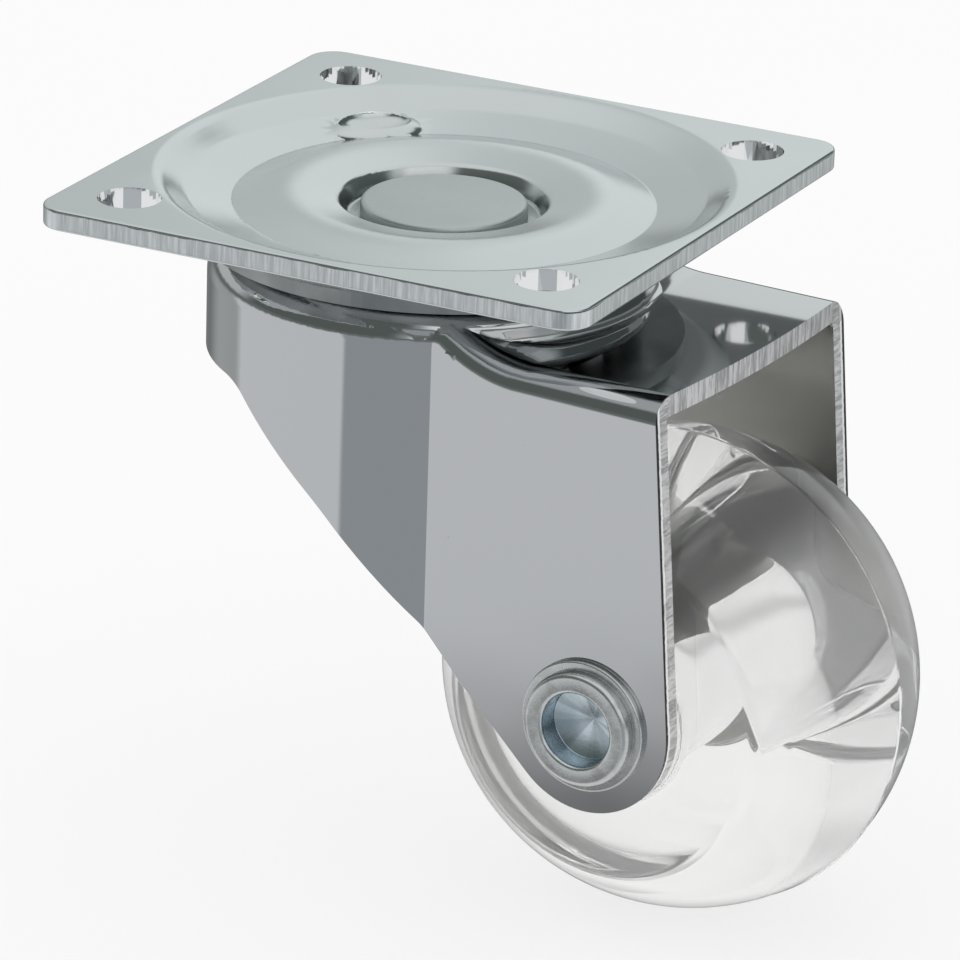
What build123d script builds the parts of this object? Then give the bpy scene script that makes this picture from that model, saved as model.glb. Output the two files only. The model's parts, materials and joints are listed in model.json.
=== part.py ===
import os
from math import asin, atan2, cos, hypot, radians, sin, sqrt

from build123d import *

# Furniture caster: square mounting plate, pressed chrome fork on two ball races, clear wheel.
# Millimetres. Origin at the centre of the plate's top face, +Z up. The plate's sides lie along
# X and Y, and the fork trails towards +X, turned by a small rest angle about the kingpin.

# Mounting plate: flat flange with four holes
plate_side = 60.0
plate_thickness = 2.2
plate_corner_radius = 3.0
plate_edge_radius = 0.3
hole_spacing = 46.0
hole_radius = 3.2

# Dish pressed into the plate: knee, wall, cone, foot, raised ring, recess for the rivet head
dish_margin = 1.4
dish_wall_reach = 2.6
dish_wall_depth = 1.7
dish_foot_radius = 21.2
dish_depth = 2.9
ring_crest_radius = 16.0
ring_crest_depth = 1.6
recess_rim_radius = 10.6
recess_rim_depth = 2.5
seat_depth = 4.4
recess_draft = 0.9
knee_bend = 2.4
wall_bend = 2.0
foot_bend = 0.7
crest_bend = 9.0
rim_bend = 0.7
seat_bend = 0.5

# Stake mark: an oval punch scoop with a raised lip, on the wall of the dish
stake_distance = 23.2
stake_angle = 135.5
scoop_reach = 2.6
scoop_half_width = 3.9
scoop_half_height = 1.6
scoop_centre_depth = 1.7
lip_reach = 3.6
lip_half_width = 5.2
lip_half_height = 1.4
lip_centre_depth = 2.9

# Balls and races
play = 0.05
upper_ball_radius = 2.0
upper_ball_count = 18
upper_row_radius = 16.0
upper_race_outer = 24.5
upper_race_inner = 12.6
upper_race_bottom = 6.1
lower_ball_radius = 1.75
lower_ball_count = 12
lower_row_radius = 9.6
lower_groove_depth = 0.5
lower_race_outer = 12.8
lower_race_thickness = 2.0
lower_race_chamfer = 0.3

# Kingpin
pin_head_radius = 8.4
pin_head_height = 1.7
pin_head_edge = 0.6
pin_radius = 4.0
pin_tail_radius = 6.2
pin_tail_height = 1.6
pin_tail_edge = 1.1
swivel_play = 0.08

# Fork: one sheet with a round crown, a deck, a round back and two cheeks
sheet = 2.2
rest_swivel = -3.8
crown_depth = 7.5
crown_radius = 21.3
crown_bend = 1.8
crown_foot_bend = 1.0
crown_foot_reach = 1.5
plateau_drop = 0.25
deck_depth = 10.9
back_ledge = 0.9
back_shift = 1.6
cheek_spread = 37.8
neck_bend = 2.0
shoulder_bend = 2.8
ramp_start = 11.5
ramp_length = 5.0
ramp_top_bend = 3.0
ramp_foot_bend = 14.0
deck_overhang = 6.5
deck_front_bow = 1.0
back_bottom = 18.4
back_corner = 12.0
back_corner_bend = 5.0
cheek_step_x = -0.5
cheek_step_depth = 28.4
cheek_step_bend = 30.0
cheek_heel_reach = 14.1
cheek_heel_rise = 0.9
cheek_heel_bend = 8.0
cheek_end_radius = 9.2

# Wheel and axle
wheel_radius = 25.0
wheel_trail = 28.9
axle_depth = 46.0
side_play = 0.2
tread_arc_radius = 23.1
tread_arc_shift = 1.9
side_face_inset = 1.0
side_edge_bend = 2.0
boss_radius = 9.3
boss_foot_bend = 0.6
boss_edge = 0.3
parting_ridge_height = 0.1
parting_ridge_width = 0.5
sleeve_radius = 7.8
wheel_play = 0.08
axle_radius = 4.5
washer_radius = 6.8
washer_thickness = 0.7
washer_chamfer = 0.25
flange_radius = 5.9
flange_height = 1.3
flange_bend = 0.6
hollow_radius = 3.8
hollow_depth = 2.6
hollow_cone_depth = 1.3

# Levels and distances that follow from the sizes above, z down to negative
dish_knee_radius = plate_side / 2 - dish_margin
dish_wall_radius = dish_knee_radius - dish_wall_reach
race_plane = -upper_race_bottom
crown_top = -crown_depth
crown_under = crown_top - sheet
plateau_top = crown_top - plateau_drop
deck_top = -deck_depth
back_radius = crown_radius + back_ledge
deck_front = wheel_trail + deck_overhang
cheek_heel_x = wheel_trail - cheek_heel_reach
cheek_heel_depth = axle_depth - cheek_heel_rise
upper_ball_z = (race_plane + crown_top) / 2
lower_ball_z = crown_under - lower_ball_radius + lower_groove_depth
lower_race_top = lower_ball_z - lower_ball_radius + lower_groove_depth
lower_race_under = lower_race_top - lower_race_thickness
axle_z = -axle_depth
cheek_half = cheek_spread / 2
inner_half = cheek_half - sheet
wheel_half_width = inner_half - side_play
side_face_half = wheel_half_width - side_face_inset

# Blanks and cutters that are larger than what they are cut from or cut through
far_out = 2 * (wheel_trail + wheel_radius)
blank_bottom = 2 * (axle_z - cheek_end_radius)
cutter_length = 60.0


# Where a cylinder or cone stands on its place, or hangs under it
on_base = (Align.CENTER, Align.CENTER, Align.MIN)
under_top = (Align.CENTER, Align.CENTER, Align.MAX)


def turned(profile_face):
    """Turns a half section, drawn in the XZ plane, about the swivel axis."""
    return revolve(profile_face, Axis.Z)


def in_section(sketch):
    """Puts a sketch of radius against height into the XZ plane."""
    return Plane.XZ * sketch


def to_fork(shape):
    """Turns a shape of the fork's own frame to its rest angle about the swivel axis."""
    return Rot(0, 0, rest_swivel) * shape


def at_axle(shape):
    """Moves a shape drawn about Z at the origin onto the wheel's axle, along the fork's Y."""
    return to_fork(Pos(wheel_trail, 0, axle_z) * Rot(-90, 0, 0) * shape)


def ball_groove(row_radius, ball_radius, ball_z):
    """Ring-shaped cutter that leaves play around a row of balls."""
    return Pos(0, 0, ball_z) * Torus(row_radius, ball_radius + play)


def outer_edges(ring):
    """The ring's circles of the largest radius."""
    return ring.edges().filter_by(GeomType.CIRCLE).group_by(SortBy.RADIUS)[-1]


def dish_path():
    """Top line of the pressed dish, from the flange in to the kingpin's hole."""
    corners = [
        (plate_side / 2 - plate_edge_radius, 0),
        (dish_knee_radius, 0),
        (dish_wall_radius, -dish_wall_depth),
        (dish_foot_radius, -dish_depth),
        (ring_crest_radius, -ring_crest_depth),
        (recess_rim_radius, -recess_rim_depth),
        (recess_rim_radius - recess_draft, -seat_depth),
        (pin_radius, -seat_depth),
    ]
    bends = [knee_bend, wall_bend, foot_bend, crest_bend, rim_bend, seat_bend]
    return FilletPolyline(*corners, radius=bends)


def dish_section():
    """Section of the pressed dish, one sheet thick."""
    top_line = dish_path()
    return make_face(offset(top_line, amount=plate_thickness, side=Side.LEFT))


def stake_form(reach, half_width, half_height, centre_depth):
    """Egg-shaped form at the stake mark, with its long side along the dish's wall."""
    egg = scale(Sphere(1), by=(reach, half_width, half_height))
    return Rot(0, 0, stake_angle) * Pos(stake_distance, 0, -centre_depth) * egg


def stake_lip():
    """Metal that the punch pushed up round its scoop."""
    return stake_form(lip_reach, lip_half_width, lip_half_height, lip_centre_depth)


def stake_scoop():
    """Punch that leaves the scoop."""
    return stake_form(scoop_reach, scoop_half_width, scoop_half_height, scoop_centre_depth)


def build_mounting_plate():
    outline = RectangleRounded(plate_side, plate_side, plate_corner_radius)
    flange = Pos(0, 0, -plate_thickness) * extrude(outline, amount=plate_thickness)
    faces = flange.faces().sort_by(Axis.Z)
    flange = fillet(faces[-1].edges() + faces[0].edges(), plate_edge_radius)
    flange -= Cylinder(plate_side / 2 - plate_edge_radius, cutter_length)
    plate = flange + turned(in_section(dish_section()))
    holes = GridLocations(hole_spacing, hole_spacing, 2, 2)
    plate -= [place * Cylinder(hole_radius, cutter_length) for place in holes]
    return plate + stake_lip() - stake_scoop()


def build_upper_race():
    width = upper_race_outer - upper_race_inner
    height = upper_race_bottom - dish_depth
    block = Pos(upper_race_inner, race_plane) * Rectangle(width, height, align=(Align.MIN, Align.MIN))
    ring = turned(in_section(block - dish_section()))
    return ring - ball_groove(upper_row_radius, upper_ball_radius, upper_ball_z)


def build_lower_race():
    ring = Pos(0, 0, lower_race_under) * Cylinder(lower_race_outer, lower_race_thickness, align=on_base)
    ring -= Cylinder(pin_radius, cutter_length)
    ring = chamfer(outer_edges(ring), lower_race_chamfer)
    return ring - ball_groove(lower_row_radius, lower_ball_radius, lower_ball_z)


def build_ball(row_radius, ball_radius, ball_z, angle):
    return Rot(0, 0, angle) * Pos(row_radius, 0, ball_z) * Sphere(ball_radius)


def build_kingpin():
    head = Pos(0, 0, -seat_depth) * Cylinder(pin_head_radius, pin_head_height, align=on_base)
    head = fillet(head.edges().sort_by(Axis.Z)[-1], pin_head_edge)
    shank_length = -seat_depth - lower_race_under
    shank = Pos(0, 0, lower_race_under) * Cylinder(pin_radius, shank_length, align=on_base)
    tail = Pos(0, 0, lower_race_under) * Cylinder(pin_tail_radius, pin_tail_height, align=under_top)
    tail = fillet(tail.edges().sort_by(Axis.Z)[0], pin_tail_edge)
    return head + shank + tail


def fork_outline(inset):
    """Plan outline of the fork: a round back that narrows to two parallel cheeks."""
    outline = Pos(-back_shift, 0) * Circle(back_radius - inset)
    outline += Rectangle(far_out, 2 * (cheek_half - inset), align=(Align.MIN, Align.CENTER))
    neck = outline.vertices().filter_by_position(Axis.X, 1, back_radius)
    return fillet(neck, neck_bend + inset)


def fork_side(inset):
    """Side view of the fork's body: plateau at the back, ramp, deck in front."""
    top_line = FilletPolyline(
        (-far_out, plateau_top - inset),
        (ramp_start, plateau_top - inset),
        (ramp_start + ramp_length, deck_top - inset),
        (far_out, deck_top - inset),
        radius=[ramp_top_bend - inset, ramp_foot_bend + inset],
    )
    below = Polyline(
        (far_out, deck_top - inset),
        (far_out, blank_bottom),
        (-far_out, blank_bottom),
        (-far_out, plateau_top - inset),
    )
    return make_face([top_line, below])


def faces_up(face):
    return face.normal_at().Z > cos(radians(60))


def on_rim(edge):
    """True for an edge of the round back or of a cheek, false for one across the deck."""
    middle = edge @ 0.5
    return middle.X < 0 or abs(middle.Y) > cheek_half / 2


def fork_column(inset):
    """The fork's plan outline, raised from below the cheeks to the plate's top."""
    return Pos(0, 0, blank_bottom) * extrude(fork_outline(inset), amount=-blank_bottom)


def fork_envelope(inset):
    """Solid inside the fork's outer skin, or inside its inner skin for an inset of one sheet."""
    side = Plane.XZ * fork_side(inset)
    body = fork_column(inset) & extrude(side, amount=far_out, both=True)
    top = body.faces().filter_by(faces_up)
    return fillet(top.edges().filter_by(on_rim), shoulder_bend - inset)


def crown():
    """Outer skin of the round crown that carries the balls, with its foot on the deck."""
    foot_end = crown_radius + crown_foot_reach
    skin = FilletPolyline(
        (0, crown_top),
        (crown_radius, crown_top),
        (crown_radius, deck_top),
        (foot_end, deck_top),
        radius=[crown_bend, crown_foot_bend],
    )
    in_deck = deck_top - sheet / 2
    below = Polyline((foot_end, deck_top), (foot_end, in_deck), (0, in_deck), (0, crown_top))
    return turned(in_section(make_face([skin, below]))) & fork_column(0)


def tangent_to_end(x, z, side):
    """Point where a line from (x, z) touches the round end of the cheek."""
    reach = hypot(wheel_trail - x, axle_z - z)
    to_centre = atan2(axle_z - z, wheel_trail - x)
    direction = to_centre + side * asin(cheek_end_radius / reach)
    length = sqrt(reach**2 - cheek_end_radius**2)
    return (x + length * cos(direction), z + length * sin(direction))


def rounded_corner(sketch, corner, radius):
    """Rounds the sketch's corner that lies nearest to the given point."""
    return fillet(sketch.vertices().sort_by_distance(corner)[0], radius)


def fork_trim():
    """Side view of the finished fork: low back wall, slanted heel, round end, raked front."""
    back = (-back_corner, -back_bottom)
    step = (cheek_step_x, -cheek_step_depth)
    heel = (cheek_heel_x, -cheek_heel_depth)
    front = (deck_front, deck_top)
    blank = Polygon(
        (-far_out, 0),
        (-far_out, -back_bottom),
        back,
        step,
        heel,
        tangent_to_end(*heel, -1),
        (wheel_trail, axle_z),
        tangent_to_end(*front, 1),
        front,
        (deck_front, 0),
        align=None,
    )
    blank += Pos(wheel_trail, axle_z) * Circle(cheek_end_radius)
    blank = rounded_corner(blank, back, back_corner_bend)
    blank = rounded_corner(blank, step, cheek_step_bend)
    blank = rounded_corner(blank, heel, cheek_heel_bend)
    return extrude(Plane.XZ * blank, amount=far_out, both=True)


def front_bow():
    """Slightly bowed front edge of the deck, ahead of the cheeks."""
    near = (deck_front, -cheek_half)
    far = (deck_front, cheek_half)
    bow = make_face([ThreePointArc(near, (deck_front + deck_front_bow, 0), far), Line(far, near)])
    return Pos(0, 0, deck_top - sheet) * extrude(bow, amount=sheet)


def build_fork():
    under_crown = Pos(0, 0, crown_under) * Cylinder(crown_radius - sheet, crown_depth, align=under_top)
    channel = fork_envelope(0) + crown() - fork_envelope(sheet) - under_crown
    fork = (channel & fork_trim()) + (channel & front_bow())
    fork -= Cylinder(pin_radius + swivel_play, cutter_length)
    fork -= ball_groove(upper_row_radius, upper_ball_radius, upper_ball_z)
    fork -= ball_groove(lower_row_radius, lower_ball_radius, lower_ball_z)
    fork -= Pos(wheel_trail, 0, axle_z) * Rot(90, 0, 0) * Cylinder(axle_radius, cutter_length)
    return to_fork(fork)


def build_axle_sleeve():
    return at_axle(Cylinder(sleeve_radius, 2 * inner_half) - Cylinder(axle_radius, cutter_length))


def build_washer(side):
    place = Pos(0, 0, side * (cheek_half + washer_thickness / 2))
    ring = Cylinder(washer_radius, washer_thickness) - Cylinder(axle_radius, cutter_length)
    return at_axle(place * chamfer(outer_edges(ring), washer_chamfer))


def rivet_flange():
    """Rolled flange of the axle, standing on z 0."""
    flange = Cylinder(flange_radius, flange_height, align=on_base)
    return fillet(flange.edges().sort_by(Axis.Z)[-1], flange_bend)


def rivet_hollow():
    """Drilled hollow of the axle's end: a round hole with a cone at its bottom."""
    floor = flange_height - hollow_depth
    hole = Pos(0, 0, floor) * Cylinder(hollow_radius, cutter_length, align=on_base)
    return hole + Pos(0, 0, floor) * Cone(0, hollow_radius, hollow_cone_depth, align=under_top)


def build_axle():
    seat = cheek_half + washer_thickness
    shaft = Cylinder(axle_radius, 2 * seat)
    for place in (Pos(0, 0, seat), Pos(0, 0, -seat) * Rot(180, 0, 0)):
        shaft = shaft + place * rivet_flange() - place * rivet_hollow()
    return at_axle(shaft)


def tread_radius_at(distance):
    """Radius of the domed tread at a distance from the wheel's middle plane."""
    arc_centre = wheel_radius - sqrt(tread_arc_radius**2 - tread_arc_shift**2)
    return arc_centre + sqrt(tread_arc_radius**2 - (distance + tread_arc_shift) ** 2)


def wheel_half_section():
    """Half section of the wheel, radius against distance from the wheel's middle plane."""
    bore = sleeve_radius + wheel_play
    tread_edge = (tread_radius_at(side_face_half), side_face_half)
    tread_middle = (tread_radius_at(side_face_half / 2), side_face_half / 2)
    boss_foot = (boss_radius, side_face_half)
    boss_face = (boss_radius, wheel_half_width)
    inner = Polyline(
        (wheel_radius, 0), (bore, 0), (bore, wheel_half_width), boss_face, boss_foot, tread_edge
    )
    section = make_face([inner, ThreePointArc(tread_edge, tread_middle, (wheel_radius, 0))])
    section = rounded_corner(section, tread_edge, side_edge_bend)
    section = rounded_corner(section, boss_foot, boss_foot_bend)
    return rounded_corner(section, boss_face, boss_edge)


def build_wheel():
    half = wheel_half_section()
    inside = wheel_radius / 2
    ridge_reach = wheel_radius + parting_ridge_height - inside
    ridge = Rectangle(ridge_reach, parting_ridge_width, align=(Align.MIN, Align.CENTER))
    section = half + mirror(half, Plane.XZ) + Pos(inside, 0) * ridge
    return at_axle(turned(in_section(section)))


def export(name, shape):
    export_step(shape, f"parts/{name}.step")


def build_all():
    os.makedirs("parts", exist_ok=True)
    export("mounting_plate", build_mounting_plate())
    export("upper_race", build_upper_race())
    export("lower_race", build_lower_race())
    export("kingpin", build_kingpin())
    for number in range(upper_ball_count):
        angle = 360 * number / upper_ball_count
        ball = build_ball(upper_row_radius, upper_ball_radius, upper_ball_z, angle)
        export(f"upper_ball_{number + 1:02d}", ball)
    for number in range(lower_ball_count):
        angle = 360 * number / lower_ball_count
        ball = build_ball(lower_row_radius, lower_ball_radius, lower_ball_z, angle)
        export(f"lower_ball_{number + 1:02d}", ball)
    export("fork", build_fork())
    export("axle", build_axle())
    export("axle_sleeve", build_axle_sleeve())
    export("axle_washer_near", build_washer(-1))
    export("axle_washer_far", build_washer(1))
    export("wheel", build_wheel())


if __name__ == "__main__":
    build_all()
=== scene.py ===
"""Furniture caster with a clear wheel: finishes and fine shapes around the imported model.

Lengths are in metres in the model's own frame. The plate's top face is z 0, the plate's sides lie
along X and Y, and the fork trails towards +X, turned a little about the kingpin.
"""
import json
import math

import bmesh
import bpy
from mathutils import Euler, Matrix, Vector


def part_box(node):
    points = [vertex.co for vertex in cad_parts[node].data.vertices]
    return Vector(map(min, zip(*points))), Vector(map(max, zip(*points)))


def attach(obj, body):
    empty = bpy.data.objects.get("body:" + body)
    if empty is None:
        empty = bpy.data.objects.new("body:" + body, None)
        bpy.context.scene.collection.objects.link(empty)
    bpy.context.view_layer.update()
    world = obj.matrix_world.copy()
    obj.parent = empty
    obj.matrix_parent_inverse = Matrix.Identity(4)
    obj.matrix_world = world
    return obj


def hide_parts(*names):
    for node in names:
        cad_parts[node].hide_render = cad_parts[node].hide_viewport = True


bl_info = {
    "name": "Furniture caster",
    "version": (1, 0, 0),
    "blender": (4, 5, 0),
    "location": "View3D > Sidebar > Caster",
    "description": "Builds the visible pieces of a swivel caster with a clear wheel around its model",
    "category": "Object",
}

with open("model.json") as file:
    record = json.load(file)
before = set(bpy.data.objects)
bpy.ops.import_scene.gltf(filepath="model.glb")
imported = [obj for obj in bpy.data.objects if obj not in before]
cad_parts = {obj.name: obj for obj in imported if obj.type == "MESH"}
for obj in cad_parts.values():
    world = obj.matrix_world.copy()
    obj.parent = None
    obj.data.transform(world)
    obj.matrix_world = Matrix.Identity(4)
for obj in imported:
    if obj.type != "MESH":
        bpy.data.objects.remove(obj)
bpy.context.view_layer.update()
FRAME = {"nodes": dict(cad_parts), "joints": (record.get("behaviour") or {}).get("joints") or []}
JOINTS = {joint["name"]: joint for joint in FRAME["joints"]}
MM = 0.001

# The wheel's axle line, from the model's own joint, and the level line square to it
AXLE_CENTRE = Vector(JOINTS["wheel_spin"]["pos_m"])
AXLE_LINE = Vector(JOINTS["wheel_spin"]["axis"]).normalized()
TRAIL_LINE = AXLE_LINE.cross(Vector((0, 0, 1)))

# Marks on the fork's faces that its material reads
CUT_EDGE = "cut_edge"
INNER_FACE = "inner_face"

# Borders between the fork's faces, in metres from the axle's middle
CHEEK_INNER_SIDE = 0.0165
CHEEK_OUTER_SIDE = 0.0189
DECK_UNDERSIDE_REACH = 0.0328
DECK_FRONT_REACH = 0.004

# How squarely a face of the fork has to look one way, where 1 is straight that way
LOOKS_THAT_WAY = 0.5
LOOKS_FORWARD = 0.6
LOOKS_SIDEWAYS = 0.3

# Painted highlight and painted shade lines along the fork's cut edges, in metres in from its outer
# side: where each starts and is full
ROLLED_EDGE_PAINTED_HIGHLIGHT = (0.0006, 0.0005)
EDGE_PAINTED_SHADE_LINE = (0.00022, 0.00016)

# Distance from the wheel's middle plane where the streaks change from the deck's to the cheeks'
STREAKS_TURN = (0.0158, 0.0168)

# Height of the painted shade along the lip of the plate's sheared sides, from where it starts to where
# it is full
LIP_BORDER = (-0.00016, -0.00008)

# Fine work on the meshes, in metres and degrees
WELD = 2e-6
FORK_WELD = 2e-5
FORK_EDGE_BREAK = 0.00018
BROKEN_EDGE_ANGLE = 55.0
SMOOTH_ANGLE = 30.0
PLATE_SMOOTH_ANGLE = 24.0
ON_THE_LINE = 1e-7

# The axle rivet's hollow ends and the plate's sheared rim, in metres
HOLLOW_RADIUS = 0.0038
HOLLOW_SOFTNESS = 0.0002
RIM_WIDTH = 0.0026
RIM_SOFTNESS = 0.0004

# Faces round the turned pieces and the balls
TURNED_SEGMENTS = 160
WHEEL_SEGMENTS = 256
FLOOR_SEGMENTS = 96
BALL_SEGMENTS = 32
BALL_RINGS = 16

# Corner points of the turned pieces: radius, height along the line, corner rounding, in millimetres
KINGPIN_CORNERS = (
    (0, -2.7, 0), (8.4, -2.7, 0.55), (8.4, -4.4, 0), (4.0, -4.4, 0),
    (4.0, -14.2, 0), (6.2, -14.2, 0), (6.2, -15.8, 1.1), (0, -15.8, 0),
)
AXLE_END_CORNERS = (
    (4.5, 19.6, 0), (5.9, 19.6, 0.1), (5.9, 20.9, 0.6), (3.8, 20.9, 0.45),
    (3.8, 18.3, 0.15), (0, 17.0, 0),
)
WASHER_CORNERS = (
    (4.5, 18.9, 0), (6.8, 18.9, 0.1), (6.8, 19.6, 0.25), (4.5, 19.6, 0),
)

# The sleeve's and the wheel's sections, in millimetres. The tread's edge and dome are measured in
# from the wheel's side face
SLEEVE_BORE_RADIUS = 4.5
SLEEVE_HALF_LENGTH = 16.7
WHEEL_CLEARANCE = 0.08
BOSS_RADIUS = 9.3
BOSS_HEIGHT = 1.0
BOSS_EDGE_ROUNDING = 0.3
BOSS_FOOT_ROUNDING = 0.6
TREAD_EDGE_ROUNDING = 1.9
TREAD_EDGE_REACH = 3.6
DOME_START = 2.5
DOME_STEPS = 34
RIDGE_FOOT = 0.25
RIDGE_HALF_WIDTH = 0.12
RIDGE_HEIGHT = 0.1

# How fine the finishes' patterns are, in cells per metre
ZINC_CLOUDS = 45.0
ZINC_GRAIN = 700.0
RIM_STREAKS = 1700.0
RAGGED_LIP = 260.0
FORK_STREAKS = 1500.0
CHROME_WAVES = 70.0
CHROME_SPECKS = 900.0
STEEL_GRAIN = 1800.0
STEEL_BLOTCHES = 180.0
RIVET_SCUFFS = 420.0
FLOW_MARKS = 90.0
FLOOR_CLOUDS = 8.0

# Painted shade in the finishes, and the cool tones of the rivet's hollow with its painted shade and
# light
LIP_PAINTED_SHADE = (0.09, 0.1, 0.1, 1.0)
PAINTED_CREVICE_SHADE = (0.08, 0.1, 0.095, 1.0)
HOLLOW_PAINTED_SHADE = (0.42, 0.49, 0.53, 1.0)
HOLLOW_PAINTED_LIGHT = (0.66, 0.75, 0.8, 1.0)
HOLLOW_DEPTH_PAINTED_SHADE = (0.06, 0.1, 0.13, 1.0)

# Share of the clear plastic's light that is scattered
PLASTIC_HAZE = 0.12

# The studio that metal reflects. A patch has its start, its end and the softness of its sides, in
# degrees round the studio, its colour and, unless it is full at all levels, the level where it
# starts to show and the level where it is full, in degrees above the horizon
PALE_TABLE = (0.78, 0.79, 0.8, 1.0)
GREY_TABLE = (254.0, 318.0, 1.5, (0.4, 0.43, 0.45, 1.0))
SHADED_TABLE = (60.0, 182.0, 4.0, (0.46, 0.48, 0.48, 1.0))
DARK_TABLE = (96.0, 150.0, 12.0, (0.2, 0.21, 0.21, 1.0))
NEAR_SHADE = (226.0, 246.0, 4.0, (0.02, 0.025, 0.03, 1.0), -21.9, -24.3)
LOW_LIGHT = (0.62, 0.65, 0.65, 1.0)
PALE_WALL = (20.0, 117.0, 5.0, (0.9, 0.94, 0.94, 1.0))
HIGH_LIGHT = (0.9, 0.92, 0.92, 1.0)
DARK_ROOM = (188.0, 286.0, 10.0, (0.13, 0.15, 0.14, 1.0), 52.0, 34.0)
WINDOW = (290.0, 347.0, 5.0, (1.0, 1.0, 1.0, 1.0), 50.0, 34.0)
CURTAIN = (4.0, 82.0, 6.0, (0.1, 0.12, 0.115, 1.0), 42.0, 30.0)
HORIZON = (0.19, 0.21, 0.2, 1.0)

# Levels where one part of that studio gives way to the next, in degrees above the horizon
NEAR_TABLE_LEVELS = (-28.0, -45.0)
HIGH_LIGHT_LEVELS = (16.0, 70.0)
HORIZON_TO_LIGHT = (4.0, 10.0)
HORIZON_TO_TABLE = (2.0, -6.0)

# The backdrop that the clear wheel shows: its start, its end and the softness, in degrees
BACKDROP_TURN = (70.0, 165.0, 30.0)
BACKDROP_LEVEL = (-60.0, 25.0, 20.0)
GREY_BAND_LEVEL = (20.0, 30.0, 5.0)

# Camera, fitted to the photograph: metres, degrees and millimetres
CAMERA_PLACE = (0.3245561, -0.6349333, 0.2404842)
CAMERA_TURN = (69.041876, -1.554635, 27.318672)
CAMERA_LENS = 283.0887
CAMERA_SENSOR = 36.0
CAMERA_FAR = 20.0

# Radii of the floor's rings, in metres
FLOOR_RINGS = (0.0, 0.5, 1.6)

# How much of the floor's white is its own, the rest is lit and carries the shadow
FLOOR_GLOW = 0.75


# Node trees

def add_node(tree, kind, inputs=None, **settings):
    """Adds a node. Each input is a plain value or another node's output socket."""
    made = tree.nodes.new(kind)
    for key, value in settings.items():
        setattr(made, key, value)
    for key, value in (inputs or {}).items():
        if isinstance(value, bpy.types.NodeSocket):
            tree.links.new(value, made.inputs[key])
        else:
            made.inputs[key].default_value = value
    return made


def math_node(tree, operation, *values, clamp=False):
    made = add_node(tree, "ShaderNodeMath", dict(enumerate(values)), operation=operation)
    made.use_clamp = clamp
    return made.outputs[0]


def vector_node(tree, operation, *values, output=0):
    made = add_node(tree, "ShaderNodeVectorMath", dict(enumerate(values)), operation=operation)
    return made.outputs[output]


def smooth_step(tree, value, start, end):
    """Rises softly from 0 at start to 1 at end."""
    inputs = {"Value": value, "From Min": start, "From Max": end}
    made = add_node(tree, "ShaderNodeMapRange", inputs, interpolation_type="SMOOTHSTEP")
    return made.outputs["Result"]


def mix_colour(tree, factor, first, second):
    """The first colour where the factor is 0, the second where it is 1."""
    made = add_node(tree, "ShaderNodeMix", data_type="RGBA")
    for key, value in ((0, factor), (6, first), (7, second)):
        if isinstance(value, bpy.types.NodeSocket):
            tree.links.new(value, made.inputs[key])
        else:
            made.inputs[key].default_value = value
    return made.outputs[2]


def noise(tree, place, scale, detail=2.0, roughness=0.5, distortion=0.0):
    """Noise that goes from 0 to 1, in cells per metre."""
    inputs = {"Vector": place, "Scale": scale, "Detail": detail, "Roughness": roughness,
              "Distortion": distortion}
    return add_node(tree, "ShaderNodeTexNoise", inputs).outputs["Fac"]


def blank_material(name):
    """A material with its output and the object's own coordinates."""
    made = bpy.data.materials.new(name)
    made.use_nodes = True
    tree = made.node_tree
    tree.nodes.clear()
    output = add_node(tree, "ShaderNodeOutputMaterial")
    place = add_node(tree, "ShaderNodeTexCoord").outputs["Object"]
    return made, tree, output, place


def grey(level):
    return (level, level, level, 1.0)


def dimmed(colour, share):
    """The colour with only a share of its light."""
    return tuple(share * part for part in colour[:3]) + (1.0,)


def add_bump(tree, shader, height, depth):
    """Gives a shader fine relief. depth is how deep it goes, in metres."""
    bump = add_node(tree, "ShaderNodeBump", {"Height": height, "Distance": depth, "Strength": 1.0})
    tree.links.new(bump.outputs["Normal"], shader.inputs["Normal"])


def metal_shader(tree, output, colour, roughness, height, depth):
    """Joins a metal surface with fine relief to the output."""
    inputs = {"Base Color": colour, "Metallic": 1.0, "Roughness": roughness}
    shader = add_node(tree, "ShaderNodeBsdfPrincipled", inputs)
    add_bump(tree, shader, height, depth)
    tree.links.new(shader.outputs["BSDF"], output.inputs["Surface"])


def upright_wall_mask(tree):
    """1 on faces that stand upright, 0 on faces that lie flat."""
    normal = add_node(tree, "ShaderNodeNewGeometry").outputs["True Normal"]
    upright = add_node(tree, "ShaderNodeSeparateXYZ", {"Vector": normal}).outputs["Z"]
    return math_node(tree, "SUBTRACT", 1.0, math_node(tree, "ABSOLUTE", upright), clamp=True)


def painted_crevice_shade(tree, reach):
    """Mask of painted shade, from ambient occlusion: 1 deep in a narrow gap, 0 on open faces. reach is
    how far a gap counts, in metres.
    """
    occlusion = add_node(tree, "ShaderNodeAmbientOcclusion", {"Distance": reach}, samples=6)
    return smooth_step(tree, occlusion.outputs["AO"], 0.72, 0.3)


def plate_rim_mask(tree, place):
    """1 at the plate's outer sides, 0 further in."""
    parts = add_node(tree, "ShaderNodeSeparateXYZ", {"Vector": place}).outputs
    across = math_node(tree, "ABSOLUTE", parts["X"])
    along = math_node(tree, "ABSOLUTE", parts["Y"])
    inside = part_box("mounting_plate")[1].x - RIM_WIDTH
    outward = math_node(tree, "MAXIMUM", across, along)
    return smooth_step(tree, outward, inside - RIM_SOFTNESS, inside)


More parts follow.
